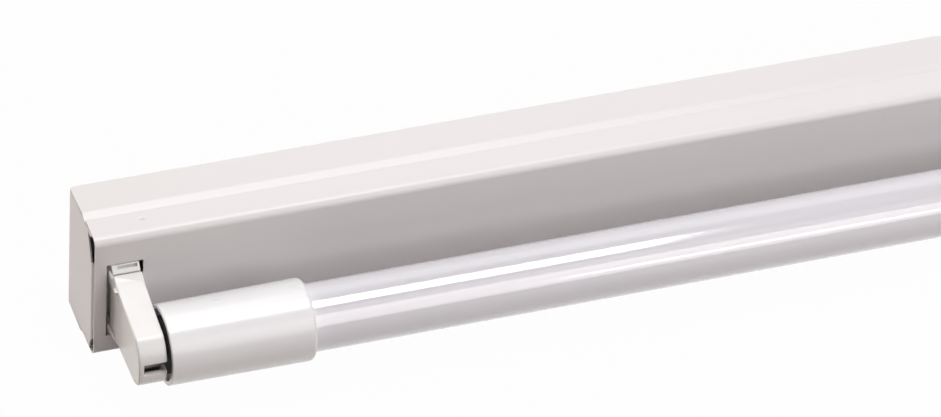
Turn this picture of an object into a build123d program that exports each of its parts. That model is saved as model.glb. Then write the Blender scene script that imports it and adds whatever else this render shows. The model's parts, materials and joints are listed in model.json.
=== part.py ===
from build123d import *
import math
import os

os.makedirs("parts", exist_ok=True)

# Channel light fixture with one straight two-pin LED tube.
# X runs along the fixture, -Y points away from the wall, +Z is up.
# The origin is at the centre of the back face, which lies against the wall or ceiling.
# A depth is a distance in front of the back face, so a point at depth d has Y = -d.
# An inset is a distance from the left end of the fixture towards its middle.

# Tube
tube_span = 589.8
tube_dia = 26.0
tube_wall = 1.0
pin_dia = 2.35
pin_distance = 12.7
pin_reach = 7.5
cap_length = 56.0
cap_step = 2.35
cap_flare = 0.4

# Sheet metal
sheet = 0.6
body_back_width = 55.0
body_seam_width = 57.4
seam_depth = 17.4
joggle_run = 3.4
joggle_gap = 0.5
rim_setback = 4.8
cover_width = 56.0
cover_depth = 34.4
cover_fold_radius = 3.3
cover_side_gap = 0.25
cover_end_gap = 0.3

# Lampholder
holder_inset = 6.5
holder_thick = 10.8
cap_gap = 1.0
axis_depth = 61.2
axis_drop = 3.7
nose_radius = 11.5

# Running clearances
pin_gap = 0.1
rotor_gap = 0.05
latch_gap = 0.05
seat_gap = 0.1
cut_over = 1.0

cap_face_dia = tube_dia + 2 * cap_step
cap_rim_dia = cap_face_dia + 2 * cap_flare
joggle_end_depth = seam_depth + joggle_run
cover_edge_depth = joggle_end_depth + joggle_gap
rim_end_depth = cover_depth - rim_setback
cap_inset = holder_inset + holder_thick + cap_gap
fixture_length = tube_span + 2 * cap_inset
axis_level = -axis_drop


def at_inset(inset):
    """X of a point at a distance from the left end."""
    return inset - fixture_length / 2


def across(inset):
    """Plane across the fixture: local x is depth, local y is height, the normal points to -X."""
    return Plane(origin=(at_inset(inset), 0, 0), x_dir=(0, -1, 0), z_dir=(-1, 0, 0))


def facing(depth, level=0):
    """Plane parallel to the back face at a depth: local x is X, local y is Z, the normal is -Y."""
    return Plane(origin=(0, -depth, level), x_dir=(1, 0, 0), z_dir=(0, -1, 0))


def along(inset, depth, level):
    """Plane for a round piece that lies along X: the normal points to +X."""
    return Plane(origin=(at_inset(inset), -depth, level), x_dir=(0, 1, 0), z_dir=(1, 0, 0))


def spot(inset, depth, level):
    """A point from its inset, depth and level."""
    return (at_inset(inset), -depth, level)


def save(piece, label):
    """Names a finished piece and writes its file."""
    piece.label = label
    export_step(piece, "parts/" + label + ".step")


def save_pair(piece, name):
    """Writes a piece of the left end, and its mirror image at the right end."""
    twin = mirror(piece, about=Plane.YZ, mode=Mode.PRIVATE)
    save(piece, "left_" + name)
    save(twin, "right_" + name)


# Channel body: a folded channel whose rim is joggled to fit inside the cover
rim_width = cover_width - 2 * (sheet + cover_side_gap)
back_bend_radius = 1.2
joggle_bend_radius = 1.0
end_slit = 0.2
end_bend_radius = 1.8
end_flange_length = 4.5
end_flange_top = 15.0
end_flange_low = 18.0
end_top_setback = 8.8
end_low_setback = 5.0
end_front_gap = 0.6
end_front_depth = cover_depth - sheet - end_front_gap
end_bend_depth = end_front_depth - end_bend_radius
end_low_depth = end_front_depth - end_front_gap
relief_dia = 2.6
fixing_spacing = 400.0
fixing_slot_length = 12.0
fixing_slot_width = 5.0
cable_hole_dia = 19.0
cable_hole_x = 60.0
snap_inset = 20.5
snap_depth = (cover_edge_depth + rim_end_depth) / 2
snap_dia = 3.2
snap_height = 0.5
rim_snap_height = 0.2
back_half = body_back_width / 2
seam_half = body_seam_width / 2
rim_half = rim_width / 2
end_back_half = back_half - sheet - end_slit
end_seam_half = seam_half - sheet - end_slit
end_rim_half = rim_half - sheet - end_slit
earth_stud_x = 85.0
earth_stud_dia = 4.0

# Each end plate is folded up from the back, and ends in a short flange that the cover closes over
with BuildPart() as end_fold:
    with BuildSketch(Plane.XY):
        with BuildLine():
            fold_skin = FilletPolyline(
                (at_inset(end_flange_length), 0),
                (at_inset(0), 0),
                (at_inset(0), -end_front_depth),
                (at_inset(end_flange_length), -end_front_depth),
                radius=end_bend_radius,
            )
            offset(fold_skin, amount=sheet, side=Side.LEFT, closed=True)
        make_face()
    extrude(amount=back_half, both=True)
    with BuildSketch(across(end_flange_length)):
        with BuildLine():
            Polyline(
                (0, -end_back_half),
                (seam_depth, -end_seam_half),
                (joggle_end_depth, -end_rim_half),
                (cover_depth - end_low_setback, -end_rim_half),
                (end_low_depth, end_low_setback - end_rim_half),
                (end_low_depth, -end_flange_low),
                (end_front_depth, -end_flange_low),
                (end_front_depth, end_flange_top),
                (end_bend_depth, end_flange_top),
                (cover_depth - end_top_setback, end_rim_half),
                (joggle_end_depth, end_rim_half),
                (seam_depth, end_seam_half),
                (0, end_back_half),
                close=True,
            )
        make_face()
    extrude(amount=end_flange_length, mode=Mode.INTERSECT)

with BuildPart() as channel_body:
    with BuildSketch(across(fixture_length)):
        with BuildLine():
            skin = FilletPolyline(
                (rim_end_depth, -rim_half),
                (joggle_end_depth, -rim_half),
                (seam_depth, -seam_half),
                (0, -back_half),
                (0, back_half),
                (seam_depth, seam_half),
                (joggle_end_depth, rim_half),
                (rim_end_depth, rim_half),
                radius=[
                    joggle_bend_radius,
                    joggle_bend_radius,
                    back_bend_radius,
                    back_bend_radius,
                    joggle_bend_radius,
                    joggle_bend_radius,
                ],
            )
            offset(skin, amount=sheet, side=Side.RIGHT, closed=True)
        make_face()
    extrude(amount=fixture_length)
    # The back plate stops short of the end folds, and relief holes free their corners
    with BuildSketch(facing(0)):
        with GridLocations(fixture_length, 0, 2, 1):
            Rectangle(2 * end_bend_radius, 2 * end_back_half)
        with GridLocations(fixture_length, 2 * end_back_half, 2, 2):
            Circle(relief_dia / 2)
    extrude(amount=end_bend_radius, mode=Mode.SUBTRACT)
    add(end_fold.part)
    add(mirror(end_fold.part, about=Plane.YZ, mode=Mode.PRIVATE))
    # Fixing slots and the cable hole in the back plate
    with BuildSketch(facing(-cut_over)):
        with GridLocations(fixing_spacing, 0, 2, 1):
            SlotOverall(fixing_slot_length, fixing_slot_width)
        with Locations((cable_hole_x, 0)):
            Circle(cable_hole_dia / 2)
        with Locations((earth_stud_x, 0)):
            Circle(earth_stud_dia / 2)
    extrude(amount=sheet + 2 * cut_over, mode=Mode.SUBTRACT)
    # Low snap bumps on the rim meet the dimples of the cover
    for side in (-1, 1):
        for snap_x in (at_inset(snap_inset), -at_inset(snap_inset)):
            bump_plane = Plane(
                origin=(snap_x, -snap_depth, side * (rim_half - rim_snap_height)),
                z_dir=(0, 0, side),
            )
            with Locations(bump_plane):
                Cone(
                    snap_dia / 2,
                    snap_dia / 4,
                    2 * rim_snap_height,
                    align=(Align.CENTER, Align.CENTER, Align.MIN),
                )
save(channel_body.part, "channel_body")


# Rubber grommet in the cable hole
grommet_bore_dia = 12.0
grommet_lip_dia = 24.0
grommet_lip_thick = 1.5
grommet_plane = Plane(origin=(cable_hole_x, 0, 0), x_dir=(1, 0, 0), z_dir=(0, 0, -1))
with BuildPart() as cable_grommet:
    with BuildSketch(grommet_plane):
        with BuildLine():
            Polyline(
                (grommet_bore_dia / 2, 0),
                (cable_hole_dia / 2, 0),
                (cable_hole_dia / 2, sheet),
                (grommet_lip_dia / 2, sheet),
                (grommet_lip_dia / 2, sheet + grommet_lip_thick / 2),
                (cable_hole_dia / 2, sheet + 2 * grommet_lip_thick),
                (grommet_bore_dia / 2, sheet + 2 * grommet_lip_thick),
                close=True,
            )
        make_face()
    revolve(axis=Axis((cable_hole_x, 0, 0), (0, 1, 0)))
save(cable_grommet.part, "cable_grommet")


# Earth stud with its washer and nut, on the back plate inside the body
stud_length = 14.0
stud_head_dia = 8.0
stud_head_thick = 1.2
washer_dia = 9.0
washer_thick = 0.8
nut_across_flats = 7.0
nut_height = 3.2
with BuildPart() as earth_stud:
    with BuildSketch(facing(0)):
        with Locations((earth_stud_x, 0)):
            Circle(earth_stud_dia / 2)
    extrude(amount=stud_length)
    with BuildSketch(facing(sheet)):
        with Locations((earth_stud_x, 0)):
            Circle(stud_head_dia / 2)
    extrude(amount=stud_head_thick)
    chamfer(earth_stud.edges().sort_by(Axis.Y)[0], length=earth_stud_dia / 8)
save(earth_stud.part, "earth_stud")

with BuildPart() as earth_washer:
    with BuildSketch(facing(sheet + stud_head_thick)):
        with Locations((earth_stud_x, 0)):
            Circle(washer_dia / 2)
            Circle(earth_stud_dia / 2, mode=Mode.SUBTRACT)
    extrude(amount=washer_thick)
save(earth_washer.part, "earth_washer")

with BuildPart() as earth_nut:
    with BuildSketch(facing(sheet + stud_head_thick + washer_thick)):
        with Locations((earth_stud_x, 0)):
            RegularPolygon(nut_across_flats / 2, 6, major_radius=False)
            Circle(earth_stud_dia / 2, mode=Mode.SUBTRACT)
    extrude(amount=nut_height)
save(earth_nut.part, "earth_nut")


# Front cover: a folded sheet with a cut-out for each lampholder
cutout_inset = 5.4
cutout_length = 13.6
cutout_top = 15.6
cutout_bottom = 18.9
cover_half = cover_width / 2
cover_length = fixture_length - 2 * cover_end_gap
cover_inner_depth = cover_depth - sheet
with BuildPart() as front_cover:
    with BuildSketch(across(fixture_length - cover_end_gap)):
        with BuildLine():
            cover_skin = FilletPolyline(
                (cover_edge_depth, -cover_half),
                (cover_depth, -cover_half),
                (cover_depth, cover_half),
                (cover_edge_depth, cover_half),
                radius=cover_fold_radius,
            )
            offset(cover_skin, amount=sheet, side=Side.LEFT, closed=True)
        make_face()
    extrude(amount=cover_length)
    cutout_centre_x = fixture_length / 2 - cutout_inset - cutout_length / 2
    with BuildSketch(facing(cover_depth + cut_over, (cutout_top - cutout_bottom) / 2)):
        with GridLocations(2 * cutout_centre_x, 0, 2, 1):
            Rectangle(cutout_length, cutout_top + cutout_bottom)
    extrude(amount=-(sheet + 2 * cut_over), mode=Mode.SUBTRACT)
    for side in (-1, 1):
        for snap_x in (at_inset(snap_inset), -at_inset(snap_inset)):
            dimple_outer = Plane(
                origin=(snap_x, -snap_depth, side * (cover_half - sheet / 2)),
                z_dir=(0, 0, side),
            )
            dimple_inner = Plane(
                origin=(snap_x, -snap_depth, side * (cover_half - sheet - snap_height / 2)),
                z_dir=(0, 0, side),
            )
            with Locations(dimple_outer):
                Cone(
                    snap_dia / 2,
                    snap_dia / 4,
                    sheet / 2 + snap_height,
                    align=(Align.CENTER, Align.CENTER, Align.MIN),
                )
            with Locations(dimple_inner):
                Cone(
                    snap_dia / 2 - snap_height / 2,
                    snap_dia / 8,
                    sheet + snap_height / 2,
                    align=(Align.CENTER, Align.CENTER, Align.MIN),
                    mode=Mode.SUBTRACT,
                )
save(front_cover.part, "front_cover")


# Lampholder housing: a moulded body with a sloping top, a rounded nose and an inner foot
foot_depth = 16.0
neck_top = 10.0
brow_gap = 1.0
latch_stand = 2.4
latch_front_depth = cover_depth + latch_stand
brow_depth = latch_front_depth + brow_gap
brow_top = 12.9
brow_run = 0.9
brow_crest_depth = brow_depth + brow_run
brow_crest_top = 13.2
slope_start_run = 2.7
slope_start_depth = brow_crest_depth + slope_start_run
slope_start_top = 11.2
slope_end_turn = math.radians(64.5)
slope_end_depth = axis_depth + nose_radius * math.cos(slope_end_turn)
slope_end_top = axis_level + nose_radius * math.sin(slope_end_turn)
holder_bottom = axis_drop + nose_radius
chin_radius = 7.5
nose_depth = axis_depth + nose_radius
post_front_depth = 22.0
post_top = 14.4
latch_root_depth = 19.5
latch_root_level = 12.2
latch_root_dia = 2.6
hook_drop = 2.0
hook_thick = 3.0
fin_height = 0.9
fin_length = 9.5
fin_thick = 1.6
fin_drop = 2.2
fin_bevel = 0.7
fin_start_depth = cover_inner_depth - hook_thick
fin_root = neck_top - fin_drop
housing_wall = 1.2
nose_wall = 1.5
edge_round = 0.7
relief_deep = 1.0
relief_run = 6.4
relief_start_depth = cover_depth - relief_run
relief_end_depth = cover_depth + 2 * seat_gap
plate_thick = 1.6
plate_rim = 0.9
rotor_dia = 2 * (pin_distance / 2 + pin_dia / 2 + seat_gap)
rotor_back_wall = 1.8
rotor_slot_inset = holder_inset + rotor_back_wall
contact_thick = 0.4
contact_width = 5.0
contact_rise = 1.3
contact_pocket = 1.2
terminal_reach = 11.0
terminal_depth = foot_depth + terminal_reach
holder_far_inset = holder_inset + holder_thick
plate_inner_inset = holder_inset + plate_thick
pocket_far_inset = holder_far_inset - housing_wall
slot_rise = 1.7
slot_drop = 3.2
slot_height = slot_rise + slot_drop
wire_dia = 2.3
wire_bore_dia = wire_dia + 2 * pin_gap

contact_start = 4.0
contact_start_depth = foot_depth + contact_start
contact_tip = 4.8
contact_bend_run = 6.0
contact_end_depth = axis_depth + contact_tip
contact_mid_depth = axis_depth - 1.5 * contact_tip
contact_bend_depth = contact_mid_depth - contact_bend_run
contact_near = rotor_dia / 2 + 2 * rotor_gap
contact_far = contact_near + contact_rise
contact_loop = wire_dia + seat_gap
terminal_level = axis_level + contact_far - contact_loop / 2


def on_nose(radius, turn):
    """A point at a turn above the level of the tube's axis, on a circle about that axis."""
    return (axis_depth + radius * math.cos(turn), axis_level + radius * math.sin(turn))


def nose_line(radius, corner, bottom):
    """Front of the lampholder, from the end of the slope round the nose to the chin."""
    front_depth = axis_depth + radius
    ThreePointArc(
        on_nose(radius, slope_end_turn),
        on_nose(radius, slope_end_turn / 2),
        on_nose(radius, 0),
    )
    Line((front_depth, axis_level), (front_depth, corner - bottom))
    RadiusArc((front_depth, corner - bottom), (front_depth - corner, -bottom), corner)


def holder_outline():
    """Side outline of the lampholder, drawn in depth and level."""
    Polyline(
        (foot_depth, -holder_bottom),
        (foot_depth, neck_top),
        (latch_root_depth - latch_root_dia, neck_top),
        (latch_root_depth - latch_root_dia, post_top),
        (post_front_depth, post_top),
        (post_front_depth, neck_top),
        (brow_depth, neck_top),
        (brow_depth, brow_top),
        (brow_crest_depth, brow_crest_top),
        (slope_start_depth, slope_start_top),
        (slope_end_depth, slope_end_top),
    )
    nose_line(nose_radius, chin_radius, holder_bottom)
    Line((nose_depth - chin_radius, -holder_bottom), (foot_depth, -holder_bottom))


def plate_outline():
    """Side outline of the rear plate, which follows the housing inside its rim."""
    plate_nose_radius = nose_radius - plate_rim
    plate_chin_radius = chin_radius - plate_rim
    plate_bottom = holder_bottom - plate_rim
    Polyline(
        (foot_depth + plate_rim, -plate_bottom),
        (foot_depth + plate_rim, neck_top - plate_rim),
        (slope_start_depth, neck_top - plate_rim),
        on_nose(plate_nose_radius, slope_end_turn),
    )
    nose_line(plate_nose_radius, plate_chin_radius, plate_bottom)
    Line((nose_depth - chin_radius, -plate_bottom), (foot_depth + plate_rim, -plate_bottom))


def relief_outline():
    """Relief in the end side beside the edge of the cut-out, between the fins."""
    relief_low = fin_thick - holder_bottom
    Polyline(
        (relief_start_depth, relief_low),
        (relief_start_depth, fin_root),
        (relief_end_depth, fin_root),
        (relief_end_depth, relief_low),
        close=True,
    )


def contact_line(side):
    """Centre line of a contact strip above (1) or below (-1) the rotor."""
    far_level = axis_level + side * contact_far
    near_level = axis_level + side * contact_near
    hook_level = far_level - side * contact_loop
    return [
        (contact_start_depth + wire_dia, hook_level),
        (contact_start_depth, hook_level),
        (contact_start_depth, far_level),
        (contact_bend_depth, far_level),
        (contact_mid_depth, near_level),
        (contact_end_depth, near_level),
    ]


with BuildPart() as holder_housing:
    with BuildSketch(across(holder_far_inset)):
        with BuildLine():
            holder_outline()
        make_face()
    extrude(amount=holder_thick)
    # Soft edges along the visible sloping top and nose
    soft_edges = holder_housing.edges().filter_by(
        lambda e: e.center().Y < -slope_start_depth and abs(e.tangent_at(0).X) < cut_over / 2
    )
    fillet(soft_edges, radius=edge_round)
    # Recess for the rear plate on the end side
    with BuildSketch(across(plate_inner_inset)):
        with BuildLine():
            plate_outline()
        make_face()
    extrude(amount=plate_thick + cut_over, mode=Mode.SUBTRACT)
    # Hollow nose behind the wall that faces the tube
    with BuildSketch(across(pocket_far_inset)):
        with Locations((axis_depth, axis_level)):
            Circle(nose_radius - nose_wall)
        with Locations(((axis_depth + contact_bend_depth) / 2, axis_level)):
            Rectangle(axis_depth - contact_bend_depth, 2 * (nose_radius - nose_wall))
    extrude(amount=pocket_far_inset - plate_inner_inset, mode=Mode.SUBTRACT)
    # Bore that the rotor turns in
    with BuildSketch(across(holder_far_inset + cut_over)):
        with Locations((axis_depth, axis_level)):
            Circle(rotor_dia / 2 + rotor_gap)
    extrude(amount=holder_thick, mode=Mode.SUBTRACT)
    # Entry slot for the pins, from the bore out through the nose
    with BuildSketch(across(holder_far_inset + cut_over)):
        with Locations((axis_depth + nose_radius, axis_level + (slot_rise - slot_drop) / 2)):
            Rectangle(2 * nose_radius, slot_height)
    extrude(
        amount=holder_far_inset + cut_over - rotor_slot_inset,
        mode=Mode.SUBTRACT,
    )
    # Pockets for the two contacts
    for side in (-1, 1):
        pocket_low = axis_level + side * (contact_near - contact_pocket / 2)
        pocket_tip = axis_level + side * (contact_near + contact_pocket)
        pocket_mid = axis_level + side * (contact_far - contact_pocket)
        pocket_high = axis_level + side * (contact_far + contact_pocket)
        foot_low = axis_level + side * (contact_far - contact_loop - contact_pocket)
        tip_depth = contact_end_depth + contact_pocket / 2
        with BuildSketch(across(pocket_far_inset)):
            with BuildLine():
                Polyline(
                    (contact_start_depth - contact_pocket, foot_low),
                    (contact_start_depth - contact_pocket, pocket_high),
                    (contact_bend_depth, pocket_high),
                    (tip_depth, pocket_tip),
                    (tip_depth, pocket_low),
                    (contact_mid_depth, pocket_low),
                    (contact_bend_depth, pocket_mid),
                    (terminal_depth + 2 * wire_dia, pocket_mid),
                    (terminal_depth + 2 * wire_dia, foot_low),
                    close=True,
                )
            make_face()
        extrude(amount=pocket_far_inset - plate_inner_inset, mode=Mode.SUBTRACT)
    # Lead entry on the side that faces the middle of the fixture
    with BuildSketch(across(holder_far_inset + cut_over)):
        with Locations((terminal_depth, terminal_level)):
            Circle(wire_bore_dia / 2)
    extrude(amount=housing_wall + 2 * cut_over, mode=Mode.SUBTRACT)
    # Socket for the latch root
    with BuildSketch(across(holder_far_inset + cut_over)):
        with Locations((latch_root_depth, latch_root_level)):
            Circle(latch_root_dia / 2 + latch_gap)
        with Locations((latch_root_depth + latch_root_dia, latch_root_level)):
            Rectangle(2 * latch_root_dia, latch_root_dia * 2 / 3)
    extrude(amount=holder_thick + 2 * cut_over, mode=Mode.SUBTRACT)
    # Hook behind the lower edge of the cut-out
    hook_face_depth = cover_inner_depth - seat_gap
    with BuildSketch(across(holder_far_inset)):
        with BuildLine():
            Polyline(
                (hook_face_depth, -holder_bottom),
                (hook_face_depth, -cutout_bottom - hook_drop),
                (hook_face_depth - hook_thick, -cutout_bottom - hook_drop),
                (hook_face_depth - 2 * hook_thick, -holder_bottom),
                close=True,
            )
        make_face()
    extrude(amount=holder_thick)
    # Lower fin, which stands out towards the end of the fixture beside the cut-out edge
    fin_plane = Plane(
        origin=(at_inset(holder_inset), 0, -holder_bottom),
        x_dir=(1, 0, 0),
        z_dir=(0, 0, 1),
    )
    with BuildSketch(fin_plane):
        with BuildLine():
            Polyline(
                (0, -cover_inner_depth),
                (-fin_height, -cover_inner_depth),
                (-fin_height, -(cover_depth + seat_gap)),
                (0, -(cover_depth + fin_length)),
                close=True,
            )
        make_face()
    extrude(amount=fin_thick)
    # Upper fin, whose bevelled top follows the brow and the start of the slope
    fin_tip_depth = cover_depth + fin_length
    slope_fall = (slope_start_top - slope_end_top) / (slope_end_depth - slope_start_depth)
    fin_tip_top = slope_start_top - slope_fall * (fin_tip_depth - slope_start_depth)
    with BuildSketch(across(holder_inset)):
        with BuildLine():
            Polyline(
                (fin_start_depth, fin_root),
                (fin_start_depth, brow_top),
                (brow_crest_depth, brow_top),
                (slope_start_depth, slope_start_top - edge_round),
                (fin_tip_depth, fin_tip_top - edge_round),
                (fin_tip_depth, fin_root),
                close=True,
            )
        make_face()
    extrude(amount=fin_height, taper=math.degrees(math.atan2(fin_bevel, fin_height)))
    # Relief beside the edge of the cut-out
    with BuildSketch(across(holder_inset - cut_over)):
        with BuildLine():
            relief_outline()
        make_face()
    extrude(amount=-(relief_deep + cut_over), mode=Mode.SUBTRACT)
save_pair(holder_housing.part, "holder_housing")


# Rear plate that closes the lampholder and carries the rotor hub
hub_dia = 6.0
hub_length = 0.8
rotor_back_inset = plate_inner_inset + seat_gap
with BuildPart() as holder_plate:
    with BuildSketch(across(plate_inner_inset)):
        with BuildLine():
            plate_outline()
        make_face()
        offset(amount=-seat_gap)
    extrude(amount=plate_thick)
    with BuildSketch(across(plate_inner_inset)):
        with Locations((axis_depth, axis_level)):
            Circle(hub_dia / 2 + rotor_gap)
    extrude(amount=hub_length, mode=Mode.SUBTRACT)
    with BuildSketch(across(holder_inset - cut_over)):
        with BuildLine():
            relief_outline()
        make_face()
    extrude(amount=-(relief_deep + cut_over), mode=Mode.SUBTRACT)
save_pair(holder_plate.part, "holder_plate")


# Rotor: a slotted drum that turns with the tube, drawn in the locked position
with BuildPart() as holder_rotor:
    with BuildSketch(across(holder_far_inset)):
        with Locations((axis_depth, axis_level)):
            Circle(rotor_dia / 2)
    extrude(amount=holder_far_inset - rotor_back_inset)
    with BuildSketch(across(rotor_back_inset)):
        with Locations((axis_depth, axis_level)):
            Circle(hub_dia / 2)
    extrude(amount=hub_length)
    with BuildSketch(across(cap_inset)):
        with Locations((axis_depth, axis_level)):
            Rectangle(pin_dia + 2 * pin_gap, rotor_dia + cut_over)
    extrude(amount=pin_reach + pin_gap, mode=Mode.SUBTRACT)
save_pair(holder_rotor.part, "rotor")


# Two contact strips for each lampholder
contact_far_inset = pocket_far_inset - (pocket_far_inset - plate_inner_inset - contact_width) / 2
with BuildPart() as holder_contacts:
    for side in (-1, 1):
        with BuildSketch(across(contact_far_inset)):
            with BuildLine():
                strip = Polyline(*contact_line(side))
                strip_side = Side.LEFT if side > 0 else Side.RIGHT
                offset(strip, amount=contact_thick, side=strip_side, closed=True)
            make_face()
        extrude(amount=contact_width)
save_pair(holder_contacts.part, "contacts")


# Latch tongue above the neck of the lampholder, with a ramped head and a release slot
tongue_thick = 1.2
barb_rise = 0.9
latch_side_gap = 0.1
head_slot_length = 7.7
head_slot_width = 1.3
head_slot_deep = 1.6
head_slot_shift = 0.6
shoulder_depth = cover_inner_depth - 4 * seat_gap
head_top = cutout_top - 4 * seat_gap
tongue_low = latch_root_level - tongue_thick / 2
tongue_high = latch_root_level + tongue_thick / 2
barb_start_depth = shoulder_depth - 5 * tongue_thick
with BuildPart() as holder_latch:
    with BuildSketch(across(holder_far_inset - latch_side_gap)):
        with BuildLine():
            Polyline(
                (latch_root_depth, tongue_low),
                (latch_front_depth, tongue_low),
                (latch_front_depth, brow_top),
                (cover_depth + seat_gap, head_top),
                (shoulder_depth, head_top),
                (shoulder_depth, cutout_top + barb_rise),
                (shoulder_depth - tongue_thick / 2, cutout_top + barb_rise),
                (barb_start_depth, tongue_high),
                (latch_root_depth, tongue_high),
                close=True,
            )
        make_face()
        with Locations((latch_root_depth, latch_root_level)):
            Circle(latch_root_dia / 2)
    extrude(amount=holder_thick - 2 * latch_side_gap)
    # The release slot is cut square to the sloping face of the head
    head_slope = math.atan2(head_top - brow_top, latch_front_depth - cover_depth)
    slot_plane = Plane(
        origin=spot(
            holder_inset + holder_thick / 2,
            (latch_front_depth + cover_depth) / 2,
            (brow_top + head_top) / 2,
        ),
        x_dir=(1, 0, 0),
        z_dir=(0, -math.sin(head_slope), math.cos(head_slope)),
    )
    with BuildSketch(slot_plane.offset(cut_over)):
        with Locations((head_slot_shift, head_slot_shift)):
            Rectangle(head_slot_length, head_slot_width)
    extrude(amount=-(head_slot_deep + cut_over), mode=Mode.SUBTRACT)
save_pair(holder_latch.part, "latch")


# Tube: diffuser, end caps, pin bases and pins
cap_wall = 1.6
cap_grip = 10.0
cap_edge_radius = 0.8
cap_rim_radius = 1.8
base_rim = 1.0
base_thick = 3.0
pin_hold = 6.0
pin_tip_radius = 0.6
cap_end_inset = cap_inset + cap_length
cavity_dia = tube_dia - 2 * tube_wall
base_dia = cavity_dia - 2 * base_rim
with BuildPart() as end_cap:
    with BuildSketch(along(cap_inset, axis_depth, axis_level)):
        Circle(cap_face_dia / 2)
    with BuildSketch(along(cap_end_inset, axis_depth, axis_level)):
        Circle(cap_rim_dia / 2)
    loft()
    fillet(end_cap.edges().sort_by(Axis.X)[0], radius=cap_edge_radius)
    fillet(end_cap.edges().filter_by(GeomType.CIRCLE).sort_by(Axis.X)[-1], radius=cap_rim_radius)
    with BuildSketch(along(cap_end_inset, axis_depth, axis_level)):
        Circle(tube_dia / 2)
    extrude(amount=-cap_grip, mode=Mode.SUBTRACT)
    with BuildSketch(along(cap_end_inset, axis_depth, axis_level)):
        Circle(cavity_dia / 2)
    extrude(amount=-(cap_length - cap_wall), mode=Mode.SUBTRACT)
    with BuildSketch(along(cap_inset, axis_depth, axis_level)):
        Circle(base_dia / 2)
    extrude(amount=cap_wall, mode=Mode.SUBTRACT)
save_pair(end_cap.part, "end_cap")

with BuildPart() as pin_base:
    with BuildSketch(along(cap_inset, axis_depth, axis_level)):
        Circle(base_dia / 2)
    extrude(amount=base_thick)
    with BuildSketch(along(cap_inset - cut_over, axis_depth, axis_level)):
        with GridLocations(0, pin_distance, 1, 2):
            Circle(pin_dia / 2)
    extrude(amount=base_thick + 2 * cut_over, mode=Mode.SUBTRACT)
save_pair(pin_base.part, "pin_base")

with BuildPart() as contact_pins:
    with BuildSketch(along(cap_inset - pin_reach, axis_depth, axis_level)):
        with GridLocations(0, pin_distance, 1, 2):
            Circle(pin_dia / 2)
    extrude(amount=pin_reach + pin_hold)
    fillet(contact_pins.edges().group_by(Axis.X)[0], radius=pin_tip_radius)
save_pair(contact_pins.part, "contact_pins")

tube_inset = cap_end_inset - cap_grip
with BuildPart() as diffuser_tube:
    with BuildSketch(along(tube_inset, axis_depth, axis_level)):
        Circle(tube_dia / 2)
        Circle(cavity_dia / 2, mode=Mode.SUBTRACT)
    extrude(amount=fixture_length - 2 * tube_inset)
save(diffuser_tube.part, "diffuser_tube")


# LED board, resting across the back of the diffuser, and its chips
board_thick = 1.2
led_board_width = 3 * cavity_dia / 4
led_board_start = 28.0
led_board_inset = cap_inset + led_board_start
chip_length = 3.5
chip_width = 2.8
chip_thick = 0.7
chip_pitch = 16.0
led_board_back = math.sqrt((cavity_dia / 2) ** 2 - (led_board_width / 2) ** 2)
led_board_depth = axis_depth - led_board_back
led_board_length = fixture_length - 2 * led_board_inset
with BuildPart() as led_board:
    with BuildSketch(facing(led_board_depth, axis_level)):
        Rectangle(led_board_length, led_board_width)
    extrude(amount=board_thick)
save(led_board.part, "led_board")

chip_run = fixture_length - 2 * (cap_end_inset + chip_length)
chip_count = int(chip_run / chip_pitch)
with BuildPart() as led_chips:
    with BuildSketch(facing(led_board_depth + board_thick, axis_level)):
        with GridLocations(chip_pitch, 0, chip_count, 1):
            Rectangle(chip_length, chip_width)
    extrude(amount=chip_thick)
save(led_chips.part, "led_chips")


# Driver board behind the pins of the left cap, link board in the right cap
driver_width = led_board_width
driver_length = 40.0
driver_front_depth = axis_depth - pin_dia / 2
driver_inset = cap_inset + base_thick
link_length = 30.0
header_side = 0.8
header_pitch = 5.0
with BuildPart() as driver_board:
    with BuildSketch(facing(driver_front_depth - board_thick, axis_level)):
        with Locations((at_inset(driver_inset + driver_length / 2), 0)):
            Rectangle(driver_length, driver_width)
    extrude(amount=board_thick)
save(driver_board.part, "driver_board")

with BuildPart() as link_board:
    with BuildSketch(facing(driver_front_depth - board_thick, axis_level)):
        with Locations((-at_inset(driver_inset + link_length / 2), 0)):
            Rectangle(link_length, driver_width)
    extrude(amount=board_thick)
save(link_board.part, "link_board")

coil_size = 9.0
coil_height = 7.5
capacitor_dia = 7.0
capacitor_length = 12.0
driver_chip_length = 6.0
driver_chip_width = 4.0
driver_chip_thick = 1.4
part_spacing = 2.0
coil_inset = driver_inset + pin_hold + coil_size / 2
capacitor_inset = coil_inset + coil_size / 2 + part_spacing
driver_chip_inset = capacitor_inset + capacitor_length + part_spacing + driver_chip_length / 2
with BuildPart() as driver_parts:
    with BuildSketch(facing(driver_front_depth, axis_level)):
        with Locations((at_inset(coil_inset), 0)):
            Rectangle(coil_size, coil_size)
    extrude(amount=coil_height)
    with BuildSketch(along(capacitor_inset, driver_front_depth + capacitor_dia / 2, axis_level)):
        Circle(capacitor_dia / 2)
    extrude(amount=capacitor_length)
    with BuildSketch(facing(driver_front_depth, axis_level)):
        with Locations((at_inset(driver_chip_inset), 0)):
            Rectangle(driver_chip_length, driver_chip_width)
    extrude(amount=driver_chip_thick)
save(driver_parts.part, "driver_parts")

header_inset = led_board_inset + header_side
with BuildPart() as board_headers:
    with BuildSketch(facing(led_board_depth + board_thick, axis_level)):
        with GridLocations(-2 * at_inset(header_inset), header_pitch, 2, 2):
            Rectangle(header_side, header_side)
    extrude(amount=driver_front_depth - 2 * board_thick - led_board_depth)
save(board_headers.part, "board_headers")


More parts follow.
